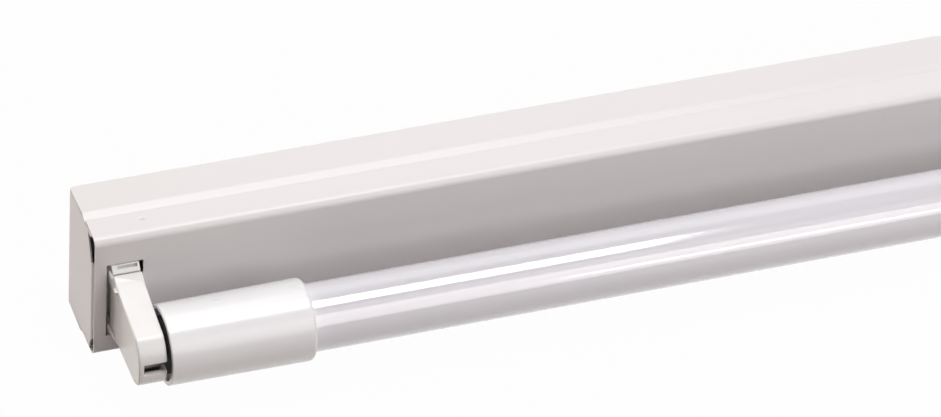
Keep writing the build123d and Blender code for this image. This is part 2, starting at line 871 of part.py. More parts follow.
# Terminal bracket: a hat-shaped plate welded to the inside of the cover
bracket_sheet = 0.8
bracket_web_length = 36.0
bracket_foot_length = 9.0
bracket_width = 42.0
bracket_rise = 3.8
block_pitch = 8.0
block_screw_dia = 3.0
block_ear = 6.0
block_length = 3 * block_pitch + 2 * block_ear
block_screw_spacing = block_length - block_ear
block_width = 18.0
block_base_thick = 3.0
block_tower_height = 11.5
block_tower_side = 6.6
clamp_dia = 5.0
clamp_bore_dia = 2.8
clamp_length = 14.0
clamp_screw_dia = 2.6
web_depth = cover_inner_depth - bracket_rise
block_depth = web_depth - bracket_sheet
earth_screw_x = -13.5
earth_screw_level = 11.0
earth_screw_dia = 3.0
with BuildPart() as terminal_bracket:
    with BuildSketch(Plane.XY):
        with BuildLine():
            half_web = bracket_web_length / 2
            bracket_line = Polyline(
                (-half_web - bracket_foot_length, -cover_inner_depth),
                (-half_web, -cover_inner_depth),
                (-half_web, -web_depth),
                (half_web, -web_depth),
                (half_web, -cover_inner_depth),
                (half_web + bracket_foot_length, -cover_inner_depth),
            )
            offset(bracket_line, amount=bracket_sheet, side=Side.LEFT, closed=True)
        make_face()
    extrude(amount=bracket_width / 2, both=True)
    with BuildSketch(facing(web_depth + cut_over)):
        with GridLocations(0, block_screw_spacing, 1, 2):
            Circle(block_screw_dia / 2)
        with Locations((earth_screw_x, earth_screw_level)):
            Circle(earth_screw_dia / 2)
    extrude(amount=-(bracket_sheet + 2 * cut_over), mode=Mode.SUBTRACT)
save(terminal_bracket.part, "terminal_bracket")


# Terminal block: three poles, with the screws towards the open back
clamp_depth = block_depth - block_base_thick - block_tower_height / 2 + clamp_dia / 4
tower_top_depth = block_depth - block_base_thick - block_tower_height
with BuildPart() as terminal_block:
    with BuildSketch(facing(block_depth)):
        RectangleRounded(block_width, block_length, block_pitch / 6)
    extrude(amount=-block_base_thick)
    with BuildSketch(facing(block_depth - block_base_thick)):
        with GridLocations(0, block_pitch, 1, 3):
            Rectangle(clamp_length + 2 * sheet, block_tower_side)
    extrude(amount=-block_tower_height)
    with BuildSketch(across(fixture_length / 2 + block_width)):
        with Locations(
            (clamp_depth, -block_pitch),
            (clamp_depth, 0),
            (clamp_depth, block_pitch),
        ):
            Circle(clamp_dia / 2)
    extrude(amount=2 * block_width, mode=Mode.SUBTRACT)
    with BuildSketch(facing(tower_top_depth - cut_over)):
        with GridLocations(clamp_length / 2, block_pitch, 2, 3):
            Circle(clamp_screw_dia / 2 + 2 * pin_gap)
    extrude(amount=cut_over + clamp_depth - tower_top_depth, mode=Mode.SUBTRACT)
    with BuildSketch(facing(block_depth + cut_over)):
        with GridLocations(0, block_screw_spacing, 1, 2):
            Circle(block_screw_dia / 2)
    extrude(amount=-(block_base_thick + 2 * cut_over), mode=Mode.SUBTRACT)
save(terminal_block.part, "terminal_block")

with BuildPart() as terminal_clamps:
    with BuildSketch(across(fixture_length / 2 + clamp_length / 2)):
        with Locations(
            (clamp_depth, -block_pitch),
            (clamp_depth, 0),
            (clamp_depth, block_pitch),
        ):
            Circle(clamp_dia / 2)
            Circle(clamp_bore_dia / 2, mode=Mode.SUBTRACT)
    extrude(amount=clamp_length)
    with BuildSketch(facing(clamp_depth - clamp_dia)):
        with GridLocations(clamp_length / 2, block_pitch, 2, 3):
            Circle(clamp_screw_dia / 2)
    extrude(amount=clamp_dia, mode=Mode.SUBTRACT)
save(terminal_clamps.part, "terminal_clamps")

clamp_screw_top = tower_top_depth + clamp_screw_dia / 2
clamp_slot_width = clamp_screw_dia / 5
with BuildPart() as clamp_screws:
    with BuildSketch(facing(clamp_screw_top)):
        with GridLocations(clamp_length / 2, block_pitch, 2, 3):
            Circle(clamp_screw_dia / 2)
    extrude(amount=clamp_depth - clamp_bore_dia / 2 - clamp_screw_top)
    with BuildSketch(facing(clamp_screw_top - cut_over)):
        with GridLocations(clamp_length / 2, block_pitch, 2, 3):
            Rectangle(clamp_screw_dia + cut_over, clamp_slot_width)
    extrude(amount=cut_over + clamp_screw_dia / 3, mode=Mode.SUBTRACT)
save(clamp_screws.part, "clamp_screws")

fix_screw_head_dia = 5.4
fix_screw_head_height = 1.8
with BuildPart() as block_screws:
    with BuildSketch(facing(block_depth - block_base_thick)):
        with GridLocations(0, block_screw_spacing, 1, 2):
            Circle(block_screw_dia / 2)
    extrude(amount=block_base_thick + 3 * bracket_sheet)
    with BuildSketch(facing(block_depth - block_base_thick)):
        with GridLocations(0, block_screw_spacing, 1, 2):
            Circle(fix_screw_head_dia / 2)
    extrude(amount=-fix_screw_head_height)
    with BuildSketch(facing(block_depth - block_base_thick - fix_screw_head_height - cut_over)):
        with GridLocations(0, block_screw_spacing, 1, 2):
            Rectangle(fix_screw_head_dia + cut_over, clamp_slot_width)
    extrude(amount=cut_over + fix_screw_head_height / 2, mode=Mode.SUBTRACT)
save(block_screws.part, "block_screws")


# Earth screw and tag beside the terminal block
tag_thick = 0.8
tag_dia = 7.0
tag_barrel_width = 3.4
tag_reach = 5.0
with BuildPart() as earth_tag:
    with BuildSketch(facing(block_depth, earth_screw_level)):
        with Locations((earth_screw_x, 0)):
            Circle(tag_dia / 2)
        with Locations((earth_screw_x, -tag_reach / 2)):
            Rectangle(tag_barrel_width, tag_reach)
        with Locations((earth_screw_x, 0)):
            Circle(earth_screw_dia / 2, mode=Mode.SUBTRACT)
    extrude(amount=-tag_thick)
save(earth_tag.part, "earth_tag")

tag_top_depth = block_depth - tag_thick
earth_head_depth = tag_top_depth - fix_screw_head_height
with BuildPart() as earth_screw:
    with BuildSketch(facing(tag_top_depth, earth_screw_level)):
        with Locations((earth_screw_x, 0)):
            Circle(fix_screw_head_dia / 2)
    extrude(amount=-fix_screw_head_height)
    with BuildSketch(facing(tag_top_depth, earth_screw_level)):
        with Locations((earth_screw_x, 0)):
            Circle(earth_screw_dia / 2)
    extrude(amount=tag_thick + 3 * bracket_sheet)
    with BuildSketch(facing(earth_head_depth - cut_over, earth_screw_level)):
        with Locations((earth_screw_x, 0)):
            Rectangle(fix_screw_head_dia + cut_over, clamp_slot_width)
    extrude(amount=cut_over + fix_screw_head_height / 2, mode=Mode.SUBTRACT)
save(earth_screw.part, "earth_screw")


# Leads: each is one round wire along straight runs and arcs, held by clips on the cover
clip_base_thick = 1.0
clip_length = 6.0
clip_wall = 1.2
clip_base_width = 10.0
clip_pitch = 70.0
lead_low_depth = cover_inner_depth - clip_base_thick - pin_gap / 2 - wire_dia / 2
lead_bend_radius = 12.0
lead_in_clamp = 3.0
lead_straight = 6.0
lead_start_x = clamp_length / 2 - lead_in_clamp
lead_exit_x = bracket_web_length / 2 + lead_straight
lead_fall = 22.0
holder_entry_x = fixture_length / 2 - holder_far_inset
holder_lead_depth = 3.5


def lead_route(side, pole_level):
    """Corner points of the lead from a pole of the block to the lampholder on one side."""
    return [
        (side * lead_start_x, -clamp_depth, pole_level),
        (side * lead_exit_x, -clamp_depth, pole_level),
        (side * (lead_exit_x + lead_fall), -lead_low_depth, pole_level),
        (side * (holder_entry_x - 2 * lead_fall), -lead_low_depth, terminal_level),
        (side * (holder_entry_x - lead_fall), -terminal_depth, terminal_level),
        (side * (holder_entry_x + holder_lead_depth), -terminal_depth, terminal_level),
    ]


def lead(points, radius):
    """A round wire along straight runs joined by tangent arcs."""
    with BuildPart() as wire:
        with BuildLine():
            path = FilletPolyline(*points, radius=radius)
        with BuildSketch(Plane(origin=path @ 0, z_dir=path % 0)):
            Circle(wire_dia / 2)
        sweep(path=path)
    print("lead length", round(path.length, 1), "bend radius", radius)
    return wire.part


save(lead(lead_route(-1, block_pitch), lead_bend_radius), "live_lead")
save(lead(lead_route(1, -block_pitch), lead_bend_radius), "neutral_lead")

earth_bend_radius = 3.0
earth_lead_rise = 2.5
tag_grip = 1.8
tag_wire_depth = tag_top_depth - wire_dia / 2
earth_lead_route = [
    (-lead_start_x, -clamp_depth, 0),
    (earth_screw_x, -clamp_depth, 0),
    (earth_screw_x, -tag_wire_depth, earth_lead_rise),
    (earth_screw_x, -tag_wire_depth, earth_screw_level - tag_reach + tag_grip),
]
save(lead(earth_lead_route, earth_bend_radius), "earth_lead")

clip_first_x = lead_exit_x + lead_fall + clip_pitch / 4
clip_count = 3


def lead_level(x, pole_level):
    """Level of a clipped lead at a distance from the middle, on its sloping run."""
    run_start = lead_exit_x + lead_fall
    run_end = holder_entry_x - 2 * lead_fall
    share = (x - run_start) / (run_end - run_start)
    return pole_level + share * (terminal_level - pole_level)


with BuildPart() as lead_clips:
    for side, pole_level in ((-1, block_pitch), (1, -block_pitch)):
        for index in range(clip_count):
            clip_x = clip_first_x + index * clip_pitch
            clip_plane = Plane(
                origin=(side * clip_x, -cover_inner_depth, lead_level(clip_x, pole_level)),
                x_dir=(0, 1, 0),
                z_dir=(1, 0, 0),
            )
            with BuildSketch(clip_plane.offset(-clip_length / 2)):
                with Locations((clip_base_thick / 2, 0)):
                    Rectangle(clip_base_thick, clip_base_width)
                with Locations((cover_inner_depth - lead_low_depth, 0)):
                    Circle(wire_dia / 2 + clip_wall)
                with Locations((-clip_wall, 0)):
                    Rectangle(2 * clip_wall, clip_base_width, mode=Mode.SUBTRACT)
                with Locations((cover_inner_depth - lead_low_depth, 0)):
                    Circle(wire_dia / 2 + 2 * pin_gap, mode=Mode.SUBTRACT)
            extrude(amount=clip_length)
save(lead_clips.part, "lead_clips")
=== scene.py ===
import json
import math

import bmesh
import bpy
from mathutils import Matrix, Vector

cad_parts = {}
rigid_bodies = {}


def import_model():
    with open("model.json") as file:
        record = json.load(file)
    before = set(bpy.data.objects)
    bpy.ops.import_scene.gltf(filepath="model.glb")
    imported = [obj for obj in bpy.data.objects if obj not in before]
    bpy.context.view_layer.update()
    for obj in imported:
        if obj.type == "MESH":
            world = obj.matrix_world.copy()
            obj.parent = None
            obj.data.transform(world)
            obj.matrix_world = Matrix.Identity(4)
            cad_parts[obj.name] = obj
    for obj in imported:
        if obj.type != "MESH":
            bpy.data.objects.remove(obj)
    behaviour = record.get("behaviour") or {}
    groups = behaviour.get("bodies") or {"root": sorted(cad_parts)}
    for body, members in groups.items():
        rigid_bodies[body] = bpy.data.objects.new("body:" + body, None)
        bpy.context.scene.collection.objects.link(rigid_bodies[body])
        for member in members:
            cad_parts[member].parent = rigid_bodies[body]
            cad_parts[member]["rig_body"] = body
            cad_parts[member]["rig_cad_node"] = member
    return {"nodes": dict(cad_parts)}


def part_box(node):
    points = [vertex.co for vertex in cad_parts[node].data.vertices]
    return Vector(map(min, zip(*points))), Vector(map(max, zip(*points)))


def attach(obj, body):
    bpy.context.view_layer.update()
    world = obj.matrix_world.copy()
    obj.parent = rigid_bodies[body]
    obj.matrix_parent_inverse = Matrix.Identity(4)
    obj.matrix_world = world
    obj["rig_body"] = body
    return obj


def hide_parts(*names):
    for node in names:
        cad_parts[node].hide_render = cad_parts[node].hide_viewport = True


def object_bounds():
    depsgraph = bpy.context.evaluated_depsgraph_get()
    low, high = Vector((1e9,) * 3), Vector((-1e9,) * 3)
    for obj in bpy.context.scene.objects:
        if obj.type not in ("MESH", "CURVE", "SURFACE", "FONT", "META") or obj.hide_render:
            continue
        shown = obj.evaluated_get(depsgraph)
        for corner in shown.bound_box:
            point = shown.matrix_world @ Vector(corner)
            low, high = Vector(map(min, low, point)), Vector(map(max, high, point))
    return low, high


bl_info = {
    "name": "Channel light fixture",
    "version": (1, 0, 0),
    "blender": (4, 5, 0),
    "location": "3D View > Sidebar > Fixture",
    "description": "Models and finishes a channel light fixture with one straight tube",
    "category": "Add Mesh",
}

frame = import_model()
cad_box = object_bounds()

MM = 0.001
MICRON = 0.000001
SIDES = (("left", -1), ("right", 1))

# A face looks along an axis where its normal's part along that axis is over this
FACING = 0.9
# Points of a CAD mesh that belong together lie nearer to each other than this
MERGE_DISTANCE = 2 * MICRON
# Faces that meet at less than this angle belong to one flat face
FLAT_ANGLE = math.radians(0.5)
# Edges that are sharper than this get a rounding
SHARP_ANGLE = math.radians(35)


# Sizes read from the frame


def span(node):
    """Lowest corner, highest corner and centre of a CAD node."""
    low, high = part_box(node)
    return low, high, (low + high) / 2


CAP_LOW, CAP_HIGH, CAP_CENTRE = span("left_end_cap")
AXIS_Y, AXIS_Z = CAP_CENTRE.y, CAP_CENTRE.z


# Settings that a user would change


def colour(label, about, value):
    """A colour property."""
    return bpy.props.FloatVectorProperty(
        name=label, description=about, subtype="COLOR", size=3, min=0, max=1, default=value
    )


def length(label, about, value):
    """A length property in metres."""
    return bpy.props.FloatProperty(
        name=label, description=about, unit="LENGTH", subtype="DISTANCE", default=value
    )


def watts(label, about, value):
    """The power of a lamp."""
    return bpy.props.FloatProperty(name=label, description=about, unit="POWER", default=value)


def number(label, about, value, **options):
    """A number without a unit."""
    return bpy.props.FloatProperty(name=label, description=about, default=value, **options)


class StageSettings(bpy.types.PropertyGroup):
    floor_colour: colour("Floor", "Colour of the floor", (0.48, 0.44, 0.42))
    floor_size: length("Floor size", "Width of the floor", 14)
    floor_gap: length("Floor gap", "Height between the floor and the lowest edge", 0.0005)
    white_share: number(
        "White share",
        "How far the floor fades to plain white where it is seen",
        0.98,
        subtype="FACTOR",
        min=0,
        max=1,
    )
    world_strength: number("Room light", "Strength of the even light", 0.02, min=0)
    backdrop_top: number("Backdrop top", "Rise at which the white backdrop ends", 0.82)
    backdrop_fade: number("Backdrop fade", "Rise over which the backdrop fades out", 0.06)
    ceiling: number("Ceiling", "Brightness of the ceiling in reflections", 0.1)
    top_power: watts("Top lamp", "Power of the large lamp above", 15.7)
    back_power: watts("Back lamp", "Power of the lamp above and behind", 6.2)
    front_power: watts("Front lamp", "Power of the wide lamp at the front", 4.6)
    strip_power: watts("Strip lamp", "Power of the narrow lamp at the right", 1.1)
    end_power: watts("End lamp", "Power of the lamp behind the left end", 13)
    camera_place: bpy.props.FloatVectorProperty(
        name="Camera place",
        description="Where the camera stands",
        subtype="TRANSLATION",
        unit="LENGTH",
        default=(-0.8161, -1.7132, 1.5141),
    )
    camera_turn: bpy.props.FloatVectorProperty(
        name="Camera turn",
        description="Direction of the camera",
        subtype="EULER",
        unit="ROTATION",
        default=(math.radians(50.096), math.radians(-2.921), math.radians(-18.727)),
    )
    camera_lens: number("Lens", "Focal length in millimetres", 238.4, min=1)


class PaintSettings(bpy.types.PropertyGroup):
    paint: colour("Paint", "Powder coat of the sheet metal", (0.85, 0.83, 0.828))
    paint_shade: colour("Paint shade", "Darker tone of the powder coat", (0.835, 0.81, 0.807))
    grain: length("Grain", "Width of one bump in the powder coat", 0.0011)
    grain_height: length("Grain height", "Height of the bumps in the powder coat", 0.000012)


class PlasticSettings(bpy.types.PropertyGroup):
    holder: colour("Holder", "Satin plastic of the lampholders", (0.92, 0.91, 0.895))
    # The rotors are toned greyer than the holders: partly their own off-white plastic, partly
    # painted shade for the drum seen in the shaded slot of a holder
    rotor: colour("Rotor", "Off-white plastic of the rotors", (0.66, 0.64, 0.61))
    cap: colour("Cap", "Glossy plastic of the end caps", (0.96, 0.95, 0.96))
    diffuser: colour("Diffuser", "Milky plastic of the tube", (0.87, 0.85, 0.91))
    block: colour("Block", "Plastic of the terminal block", (0.80, 0.78, 0.72))


class TubeSettings(bpy.types.PropertyGroup):
    wall: length("Wall", "Wall of the milky tube", 0.001)
    end_edge: length("End edge", "Rounding of the ends of the milky tube", 0.0002)
    end_wall: length("End wall", "Thickness of the end of a cap", 0.0016)
    end_rim: length("End rim", "Width of the raised rim round the end of a cap", 0.0017)
    end_sink: length("End sink", "How deep the end of a cap lies behind its rim", 0.0028)
    draft: length("Draft", "How much wider the open rim of a cap is than its face", 0.0004)
    face_round: length("Face rounding", "Rounding of the outer edge of a cap", 0.0004)
    rim_round: length("Rim rounding", "Rounding of the open rim of a cap", 0.0018)


class MouldingSettings(bpy.types.PropertyGroup):
    edge: length("Edge", "Rounding of the moulded edges", 0.00013)


class SheetSettings(bpy.types.PropertyGroup):
    dome: length("Bump rounding", "Rounding of the snap bumps", 0.0002)
    seam: length("Seam", "How much wider than the sheet gap the seam at an end plate is", 0.001)
    slot: length("Slot", "How much further out the openings end than in the CAD model", 0.0005)


class FixtureSettings(bpy.types.PropertyGroup):
    sheet: bpy.props.PointerProperty(type=SheetSettings)
    tube: bpy.props.PointerProperty(type=TubeSettings)
    moulding: bpy.props.PointerProperty(type=MouldingSettings)
    stage: bpy.props.PointerProperty(type=StageSettings)
    paint: bpy.props.PointerProperty(type=PaintSettings)
    plastic: bpy.props.PointerProperty(type=PlasticSettings)


# Finishes

# Most values of a noise pattern lie between these two
NOISE_LOW, NOISE_HIGH = 0.3, 0.7
# Values of a pattern at which the first tone ends and the second one begins
TONE_STOPS = (0.25, 0.75)


class Finish:
    """A procedural material: one Principled surface whose sockets are fed by patterns."""

    def __init__(self, name, base, roughness, metallic=0.0):
        self.material = bpy.data.materials.new(name)
        self.material.use_nodes = True
        self.tree = self.material.node_tree
        self.surface = self.tree.nodes["Principled BSDF"]
        self.surface.inputs["Base Color"].default_value = (*base, 1)
        self.surface.inputs["Roughness"].default_value = roughness
        self.surface.inputs["Metallic"].default_value = metallic
        self.place = self.tree.nodes.new("ShaderNodeTexCoord").outputs["Object"]

    def noise(self, size, stretch=(1, 1, 1), detail=2.0):
        """Soft noise whose blobs are about this size in metres, drawn out by stretch."""
        mapping = self.tree.nodes.new("ShaderNodeMapping")
        mapping.inputs["Scale"].default_value = [1 / (size * s) for s in stretch]
        noise = self.tree.nodes.new("ShaderNodeTexNoise")
        noise.inputs["Scale"].default_value = 1
        noise.inputs["Detail"].default_value = detail
        self.tree.links.new(self.place, mapping.inputs["Vector"])
        self.tree.links.new(mapping.outputs["Vector"], noise.inputs["Vector"])
        return noise.outputs["Fac"]

    def between(self, pattern, low, high):
        """Remaps the middle of a pattern to the range from low to high."""
        remap = self.tree.nodes.new("ShaderNodeMapRange")
        remap.inputs["From Min"].default_value = NOISE_LOW
        remap.inputs["From Max"].default_value = NOISE_HIGH
        remap.inputs["To Min"].default_value = low
        remap.inputs["To Max"].default_value = high
        self.tree.links.new(pattern, remap.inputs["Value"])
        return remap.outputs["Result"]

    def tones(self, pattern, first, second):
        """Colours the surface between two tones."""
        ramp = self.tree.nodes.new("ShaderNodeValToRGB")
        for stop, position, tone in zip(ramp.color_ramp.elements, TONE_STOPS, (first, second)):
            stop.position = position
            stop.color = (*tone, 1)
        self.tree.links.new(pattern, ramp.inputs["Fac"])
        self.tree.links.new(ramp.outputs["Color"], self.surface.inputs["Base Color"])

    def rough(self, pattern, low, high):
        """Varies the roughness."""
        self.tree.links.new(self.between(pattern, low, high), self.surface.inputs["Roughness"])

    def relief(self, pattern, height):
        """Raises the surface by a pattern, on top of any relief that it has."""
        bump = self.tree.nodes.new("ShaderNodeBump")
        bump.inputs["Strength"].default_value = 1
        bump.inputs["Distance"].default_value = height
        normal = self.surface.inputs["Normal"]
        if normal.links:
            self.tree.links.new(normal.links[0].from_socket, bump.inputs["Normal"])
        self.tree.links.new(pattern, bump.inputs["Height"])
        self.tree.links.new(bump.outputs["Normal"], normal)

    def coat(self, weight, roughness, ior=1.5):
        """Adds a clear gloss layer."""
        self.surface.inputs["Coat Weight"].default_value = weight
        self.surface.inputs["Coat Roughness"].default_value = roughness
        self.surface.inputs["Coat IOR"].default_value = ior

    def sheen(self, weight, roughness):
        """Adds the pale bloom of dusty plastic at its edges."""
        self.surface.inputs["Sheen Weight"].default_value = weight
        self.surface.inputs["Sheen Roughness"].default_value = roughness


def shade(tone, share):
    """A tone made darker or lighter by a share."""
    return tuple(c * share for c in tone)


def powder_coat(name, paint, share=1.0):
    """Satin powder coat: fine orange peel, and faint clouds drawn out along the sheet."""
    finish = Finish(name, paint.paint, roughness=0.3)
    clouds = finish.noise(30 * MM, stretch=(3, 1, 1), detail=3.0)
    peel = finish.noise(paint.grain, detail=1.0)
    finish.tones(clouds, shade(paint.paint_shade, share), shade(paint.paint, share))
    finish.rough(clouds, 0.3, 0.35)
    finish.relief(peel, paint.grain_height)
    return finish.material


def satin_plastic(name, tone, roughness=0.36):
    """Satin moulded plastic with a fine spark-eroded skin and a slow drift in tone."""
    finish = Finish(name, tone, roughness)
    flow = finish.noise(12 * MM)
    skin = finish.noise(0.4 * MM, detail=1.0)
    finish.tones(flow, shade(tone, 0.97), tone)
    finish.rough(flow, roughness * 0.9, roughness * 1.15)
    finish.relief(skin, 3 * MICRON)
    return finish.material


def gloss_plastic(name, tone):
    """Smooth moulded plastic with a faint waviness in its soft gloss."""
    finish = Finish(name, tone, roughness=0.3)
    flow = finish.noise(20 * MM, stretch=(3, 1, 1))
    finish.tones(flow, shade(tone, 0.98), tone)
    finish.rough(flow, 0.27, 0.33)
    finish.relief(flow, 20 * MICRON)
    finish.coat(weight=0.7, roughness=0.2)
    finish.sheen(weight=0.35, roughness=0.4)
    return finish.material


def milky_plastic(name, tone):
    """Extruded milky diffuser: light goes a little way in, with faint drawing lines."""
    finish = Finish(name, tone, roughness=0.1)
    lines = finish.noise(3 * MM, stretch=(60, 1, 1))
    finish.tones(lines, shade(tone, 0.985), tone)
    finish.rough(lines, 0.08, 0.12)
    finish.relief(lines, 6 * MICRON)
    finish.surface.inputs["Subsurface Weight"].default_value = 0.4
    finish.surface.inputs["Subsurface Radius"].default_value = (1, 1, 1.1)
    finish.surface.inputs["Subsurface Scale"].default_value = 2 * MM
    finish.coat(weight=1.0, roughness=0.06, ior=1.8)
    return finish.material


def turned_metal(name, tone):
    """Turned metal with fine rings around the axis of the fixture."""
    finish = Finish(name, tone, roughness=0.28, metallic=1)
    rings = finish.noise(0.25 * MM, stretch=(1, 40, 40))
    finish.tones(rings, shade(tone, 0.85), tone)
    finish.rough(rings, 0.2, 0.34)
    finish.relief(rings, 4 * MICRON)
    return finish.material


def stamped_metal(name, tone, roughness=0.35):
    """Rolled and stamped sheet metal with a short grain and cloudy plating."""
    finish = Finish(name, tone, roughness, metallic=1)
    grain = finish.noise(0.6 * MM, stretch=(8, 1, 1))
    clouds = finish.noise(4 * MM)
    finish.tones(clouds, shade(tone, 0.86), tone)
    finish.rough(clouds, roughness * 0.8, roughness * 1.3)
    finish.relief(grain, 4 * MICRON)
    return finish.material


def solder_mask(name, tone):
    """Circuit board: raised tracks under a coloured mask."""
    finish = Finish(name, tone, roughness=0.3)
    tracks = finish.noise(1.8 * MM, stretch=(6, 1, 1), detail=0.0)
    finish.tones(tracks, shade(tone, 0.85), tone)
    finish.rough(tracks, 0.26, 0.36)
    finish.relief(tracks, 30 * MICRON)
    return finish.material


def soft_skin(name, tone, roughness):
    """Rubber or wire insulation with a dusty, slightly uneven skin."""
    finish = Finish(name, tone, roughness)
    dust = finish.noise(1.5 * MM)
    finish.tones(dust, shade(tone, 0.85), shade(tone, 1.08))
    finish.rough(dust, roughness * 0.85, roughness * 1.15)
    finish.relief(dust, 10 * MICRON)
    return finish.material


def dress(piece, material):
    """Gives a piece one material."""
    piece.data.materials.clear()
    piece.data.materials.append(material)


def dress_nodes(material, *names):
    """Gives CAD nodes a material through their objects' slots."""
    for name in names:
        node = frame["nodes"][name]
        for slot in node.material_slots:
            slot.link = "OBJECT"
            slot.material = material


def both(name):
    """Names of the left and the right node."""
    return ("left_" + name, "right_" + name)


# Modelling


def select(piece):
    """Selects one piece alone and makes it the active one."""
    bpy.ops.object.select_all(action="DESELECT")
    piece.select_set(True)
    bpy.context.view_layer.objects.active = piece


def rod(name, start, end, y, z, radius, end_radius, facets):
    """A round bar or a slight cone that lies along the fixture, with its place in its mesh."""
    bpy.ops.object.select_all(action="DESELECT")
    bpy.ops.mesh.primitive_cone_add(
        vertices=facets,
        radius1=radius,
        radius2=end_radius,
        depth=end - start,
        location=((start + end) / 2, y, z),
        rotation=(0, math.pi / 2, 0),
    )
    piece = bpy.context.object
    piece.name = piece.data.name = name
    bpy.ops.object.transform_apply(location=True, rotation=True, scale=True)
    return piece


def choose(kind, test):
    """Selects the vertices, edges or faces of the piece in edit mode that pass a test."""
    mesh = bmesh.from_edit_mesh(bpy.context.object.data)
    bpy.ops.mesh.select_mode(type=kind)
    bpy.ops.mesh.select_all(action="DESELECT")
    parts = {"VERT": mesh.verts, "EDGE": mesh.edges, "FACE": mesh.faces}[kind]
    chosen = [part for part in parts if test(part)]
    if not chosen:
        raise RuntimeError(f"{bpy.context.object.name}: nothing to select")
    for part in chosen:
        part.select_set(True)
    mesh.select_flush_mode()
    bmesh.update_edit_mesh(bpy.context.object.data)


def edit(piece, on):
    """Enters or leaves edit mode on one piece."""
    if on:
        select(piece)
    bpy.ops.object.mode_set(mode="EDIT" if on else "OBJECT")


def push(distance):
    """Extrudes what is selected along the fixture."""
    bpy.ops.mesh.extrude_region_move(TRANSFORM_OT_translate={"value": (distance, 0, 0)})


def finish_modifier(piece, kind, **options):
    """Adds one modifier and applies it."""
    select(piece)
    modifier = piece.modifiers.new(kind.title(), kind)
    for name, value in options.items():
        setattr(modifier, name, value)
    bpy.ops.object.modifier_apply(modifier=modifier.name)


def soften(piece, width, segments=2, smoothing=30):
    """Rounds the sharp edges of a piece and shades it smooth up to an angle."""
    finish_modifier(
        piece,
        "BEVEL",
        width=width,
        segments=segments,
        limit_method="ANGLE",
        angle_limit=SHARP_ANGLE,
        use_clamp_overlap=True,
    )
    smooth(piece, smoothing)


def smooth(piece, angle=30):
    """Shades a piece smooth up to an angle, and keeps its large faces flat."""
    select(piece)
    bpy.ops.object.shade_smooth_by_angle(angle=math.radians(angle))
    finish_modifier(piece, "WEIGHTED_NORMAL", keep_sharp=True, weight=100)


def merged_copy(node, name):
    """A copy of a CAD node with its loose triangles merged into whole faces."""
    source = frame["nodes"][node]
    piece = source.copy()
    piece.data = source.data.copy()
    piece.name = piece.data.name = name
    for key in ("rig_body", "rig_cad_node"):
        del piece[key]
    piece.parent = None
    bpy.context.scene.collection.objects.link(piece)
    edit(piece, True)
    bpy.ops.mesh.select_all(action="SELECT")
    bpy.ops.mesh.remove_doubles(threshold=MERGE_DISTANCE)
    bpy.ops.mesh.dissolve_limited(angle_limit=FLAT_ANGLE)
    edit(piece, False)
    return piece


def mirrored(piece, name):
    """A mirror image of a left piece for the right end."""
    select(piece)
    bpy.ops.object.duplicate()
    twin = bpy.context.object
    twin.name = twin.data.name = name
    bpy.ops.transform.mirror(constraint_axis=(True, False, False), center_override=(0, 0, 0))
    bpy.ops.object.transform_apply(location=True, rotation=True, scale=True)
    edit(twin, True)
    bpy.ops.mesh.select_all(action="SELECT")
    bpy.ops.mesh.normals_make_consistent(inside=False)
    edit(twin, False)
    return twin


def hand_in(piece, material, body, slot, *nodes):
    """Dresses a finished piece and lets it ride on its body in place of its nodes."""
    dress(piece, material)
    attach(piece, body)
    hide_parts(*nodes)


# Stage


